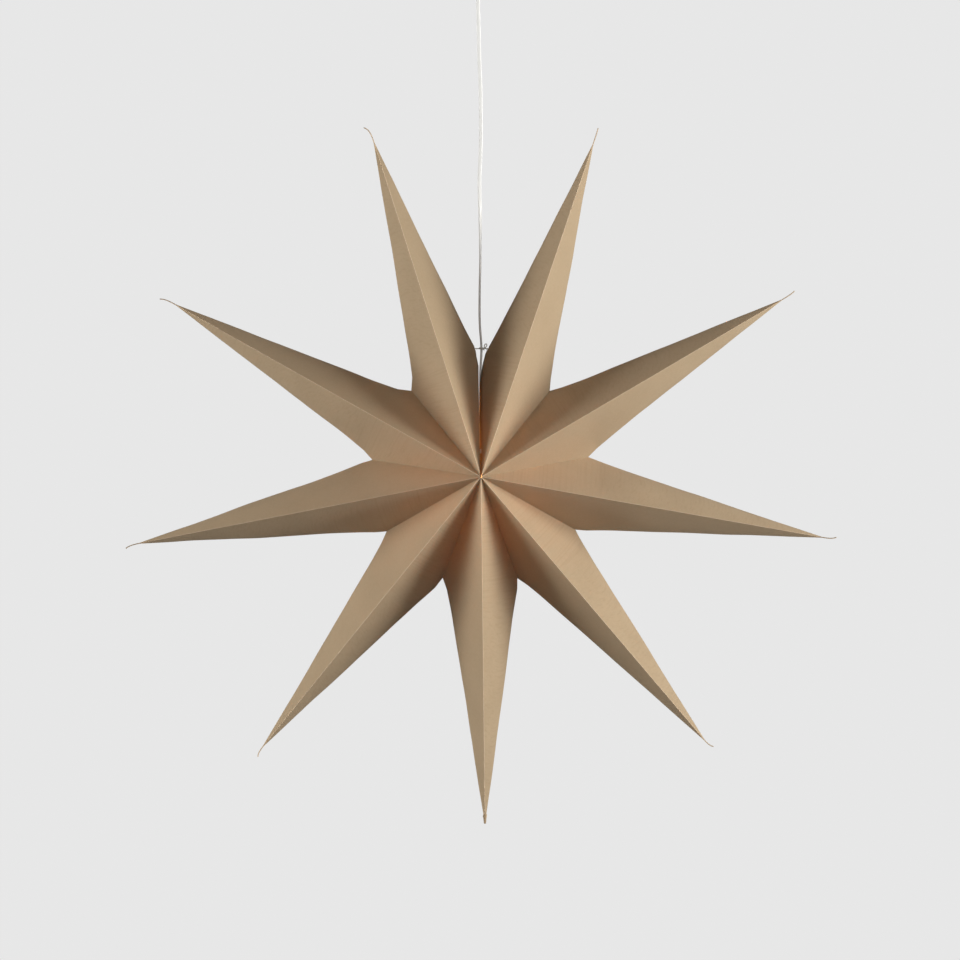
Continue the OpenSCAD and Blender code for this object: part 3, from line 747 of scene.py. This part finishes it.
def make_cord():
    """Flat twin cord: two round cores side by side with a groove between them."""
    rings, around = 240, 28
    apart, core = (CORD_W - CORD_T) / 2, CORD_T / 2
    points, faces, path = [], [], []
    for r in range(rings):
        h = mix(CORD_LOW, CORD_HIGH, r / (rings - 1))
        path.append(world(cord_x(h), h, 0))
        for k in range(around):
            a = 2 * math.pi * k / around
            s = abs(math.cos(a)) ** 0.8
            x = math.copysign(1, math.cos(a)) * (apart * min(1, 3 * s) + core * abs(math.cos(a)))
            y = core * math.sin(a) * (1 - 0.2 * math.exp(-(x / 0.75) ** 2))
            p = turned((x, y), cord_turn(h))
            points.append(world(cord_x(h) + p[0], h, -p[1]))
    for r in range(rings - 1):
        for k in range(around):
            a, b = r * around + k, r * around + (k + 1) % around
            faces.append((a, b, b + around, a + around))
    faces.append(tuple(range(around - 1, -1, -1)))
    faces.append(tuple((rings - 1) * around + k for k in range(around)))
    piece = make_piece("white_cord", points, faces, SHEATH, ["cord"], 50)
    return piece


cord = make_cord()


# String ties
def knot_points(centre, size, axis=0, turn=0.0):
    """An overhand knot pulled tight, as points in star axes."""
    points = []
    for a in np.linspace(0.25, 2 * math.pi - 0.25, 34):
        p = np.array([math.cos(3 * a) * 0.55, math.sin(a) + 2 * math.sin(2 * a),
                      math.cos(a) - 2 * math.cos(2 * a)]) / 3
        c, s = math.cos(turn), math.sin(turn)
        p = np.array([p[0], c * p[1] - s * p[2], s * p[1] + c * p[2]])
        points.append(np.array(centre) + size * np.roll(p, axis))
    return points


def star_piece(name, points, faces, replaces):
    piece = make_piece(name, [world(*p) for p in points], [tuple(reversed(f)) for f in faces],
                       COTTON, replaces, 60)
    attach(piece, "root")
    return piece


def knot_x(i, sign):
    r = (KNOT_R + KNOT_GAP) * SKIN_V / PAPER + SKIN_V
    return sign * max(sign * wall_x(i, sign, TOP_TIE_H + k * r) + r * math.sqrt(1 - k * k)
                      for k in np.linspace(-1, 1, 17))


def make_top_tie():
    h, c = TOP_TIE_H, cord_x(TOP_TIE_H)
    left, right = knot_x(9, -1), knot_x(1, 1)
    points, faces = [], []
    a, b = CORD_T / 2 + 0.95, CORD_W / 2 + 0.95
    wrap = [(left + 1, h, 0), (left + 3.2, h, 0), (c - 4.6, h + 0.1, 0.2), (c - 3.0, h + 0.2, 1.6)]
    for k in range(13):
        t = math.radians(160 - 45 * k)
        wrap.append((c + a * math.cos(t), h + 0.3 - 0.17 * k + 0.9, b * math.sin(t)))
    knot = (c + 4.4, h + 0.9, 2.2)
    wrap += [(c + 3.4, h + 0.2, 2.4), knot]
    twisted_string(wrap, STRING * 0.86, points, faces)
    twisted_string([(c + 3.9, h + 0.4, 1.6), (c + 6.2, h + 0.1, 0.4), (right - 3.4, h, 0),
                    (right - 1, h, 0)], STRING * 0.86, points, faces)
    twisted_string(knot_points(knot, 1.75, 1, 0.4), STRING * 0.72, points, faces)
    twisted_string(knot_points((left, h, 0), 2.0), STRING * 0.72, points, faces)
    twisted_string(knot_points((right, h, 0), 2.0, 0, 1.0), STRING * 0.72, points, faces)
    bow = [knot, (c + 4.0, h + 3.2, 2.6), (c + 4.9, h + 5.6, 3.0), (c + 6.9, h + 6.3, 3.0),
           (c + 7.6, h + 4.4, 2.9), (c + 6.4, h + 2.3, 2.6), knot]
    twisted_string(bow, STRING * 0.8, points, faces)
    for end in ([(c + 6.6, h - 0.2, 2.8), (c + 8.2, h - 2.4, 3.4), (c + 9.0, h - 3.6, 3.6)],
                [(c + 3.6, h - 1.2, 3.4), (c + 3.4, h - 2.6, 3.8)]):
        twisted_string([knot] + end, STRING * 0.8, points, faces)
    return star_piece("top_string_tie", points, faces, ["top_tie"])


def make_small_tie(face, name, node):
    edge, hole = TIE_EDGE * (1, face), TIE_HOLE * (1, face)
    shift = -FLAP_LEAN / 2
    room = PAPER + SMALL_KNOT_GAP + KNOT_R
    left = slot_x(9, hole[0]) + shift - room
    right = slot_x(0, hole[0]) + shift + room
    middle = (slot_x(0, TIE_RADIUS) + slot_x(9, TIE_RADIUS)) / 2
    points, faces = [], []
    twisted_string([(left, *hole), (middle + shift, *hole), (right, *hole)],
                   STRING * 0.84, points, faces)
    half_way = (middle + shift / 2, *mix(hole, edge, 0.5))
    twisted_string([(middle + shift, *hole), half_way, (middle, *edge)],
                   STRING * 0.8, points, faces)
    twisted_string(knot_points((left, *hole), 1.9), STRING * 0.72, points, faces)
    twisted_string(knot_points((right, *hole), 1.9, 0, 1.0), STRING * 0.72, points, faces)
    twisted_string(knot_points((middle, *edge), 0.95, 1, 0.6), STRING * 0.5, points, faces)
    twisted_string([(middle, *edge), (middle + 0.2, edge[0] - 2.2, edge[1] + face * 2.4),
                    (middle + 0.5, edge[0] - 4.6, edge[1] + face * 3.8)],
                   STRING * 0.62, points, faces)
    return star_piece(name, points, faces, [node])


make_top_tie()
make_small_tie(1, "front_string_tie", "front_tie")
make_small_tie(-1, "back_string_tie", "back_tie")

# Carried-over solids
NODE_LOOKS = {
    "holder_cap": IVORY, "holder_body": IVORY, "contact_base": CERAMIC, "thread_sleeve": BRASS,
    "centre_contact": BRASS, "bulb_glass": LIT_GLASS, "bulb_cap": NICKEL,
    "bulb_insulator": BLACK_GLASS, "bulb_contact": NICKEL, "ceiling_cup": WHITE,
    "ceiling_bracket": ZINC, "cup_screws": ZINC, "cord_grip": WHITE, "grip_nut": WHITE,
    "terminal_block": CLOUDY,
}
for node_name, look in NODE_LOOKS.items():
    for material_slot in nodes[node_name].material_slots:
        material_slot.material = look

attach(cord, "root")


# Stage and light
def stage_material():
    """Pale to the camera and in reflections, and dimmer as a source of bounced light."""
    mat, tree, shader, out = new_material("pale_stage")
    shader.inputs["Base Color"].default_value = (0.25, 0.25, 0.25, 1)
    shader.inputs["Roughness"].default_value = 0.9
    glow = add(tree, "ShaderNodeEmission", Strength=PALE)
    path = add(tree, "ShaderNodeLightPath")
    seen = add(tree, "ShaderNodeMath", operation="MAXIMUM")
    tree.links.new(path.outputs["Is Camera Ray"], seen.inputs[0])
    tree.links.new(path.outputs["Is Glossy Ray"], seen.inputs[1])
    blend = add(tree, "ShaderNodeMixShader")
    tree.links.new(seen.outputs[0], blend.inputs["Fac"])
    tree.links.new(shader.outputs[0], blend.inputs[1])
    tree.links.new(glow.outputs[0], blend.inputs[2])
    tree.links.new(blend.outputs[0], out.inputs["Surface"])
    return mat


FLOOR_Z, FLOOR_HALF = -1.75, 7.0
PALE = 0.8


def make_stage():
    mesh = bpy.data.meshes.new("floor")
    z, half = FLOOR_Z, FLOOR_HALF
    mesh.from_pydata([(-half, -half, z), (half, -half, z), (half, half, z), (-half, half, z)],
                     [], [(0, 1, 2, 3)])
    mesh.materials.append(stage_material())
    floor = bpy.data.objects.new("floor", mesh)
    scene.collection.objects.link(floor)


def make_world():
    sky = bpy.data.worlds.new("pale_world")
    scene.world = sky
    sky.use_nodes = True
    tree = sky.node_tree
    tree.nodes.clear()
    out = tree.nodes.new("ShaderNodeOutputWorld")
    path = tree.nodes.new("ShaderNodeLightPath")
    seen = add(tree, "ShaderNodeMath", operation="MAXIMUM")
    tree.links.new(path.outputs["Is Camera Ray"], seen.inputs[0])
    tree.links.new(path.outputs["Is Glossy Ray"], seen.inputs[1])
    more = add(tree, "ShaderNodeMath", operation="MAXIMUM")
    tree.links.new(seen.outputs[0], more.inputs[0])
    tree.links.new(path.outputs["Is Transmission Ray"], more.inputs[1])
    dim = add(tree, "ShaderNodeBackground", Strength=0.06)
    dim.inputs["Color"].default_value = (1.0, 0.97, 0.94, 1)
    pale = add(tree, "ShaderNodeBackground", Strength=PALE)
    pale.inputs["Color"].default_value = (1.0, 1.0, 1.0, 1)
    blend = add(tree, "ShaderNodeMixShader")
    tree.links.new(more.outputs[0], blend.inputs["Fac"])
    tree.links.new(dim.outputs[0], blend.inputs[1])
    tree.links.new(pale.outputs[0], blend.inputs[2])
    tree.links.new(blend.outputs[0], out.inputs["Surface"])


def softbox(name, place, power, width, height, aim=(0, 0, -DROP / 1000), colour=(1, 0.99, 0.96)):
    data = bpy.data.lights.new(name, "AREA")
    data.shape, data.size, data.size_y = "RECTANGLE", width, height
    data.energy, data.color = power, colour
    lamp = bpy.data.objects.new(name, data)
    lamp.location = place
    lamp.rotation_euler = (Vector(aim) - Vector(place)).to_track_quat("-Z", "Y").to_euler()
    scene.collection.objects.link(lamp)


make_stage()
make_world()
# Name, place in metres, watts, width and height
softbox("soft_right", (2.3, -0.75, -0.65), 74, 1.0, 1.7)
softbox("soft_left", (-2.3, -0.75, -0.65), 50, 1.0, 1.7)
softbox("soft_front", (0.3, -3.2, 0.6), 6, 2.2, 1.4)
softbox("soft_cord", (0.5, -0.9, 0.05), 2.2, 0.5, 0.3, (0, 0, -0.2))
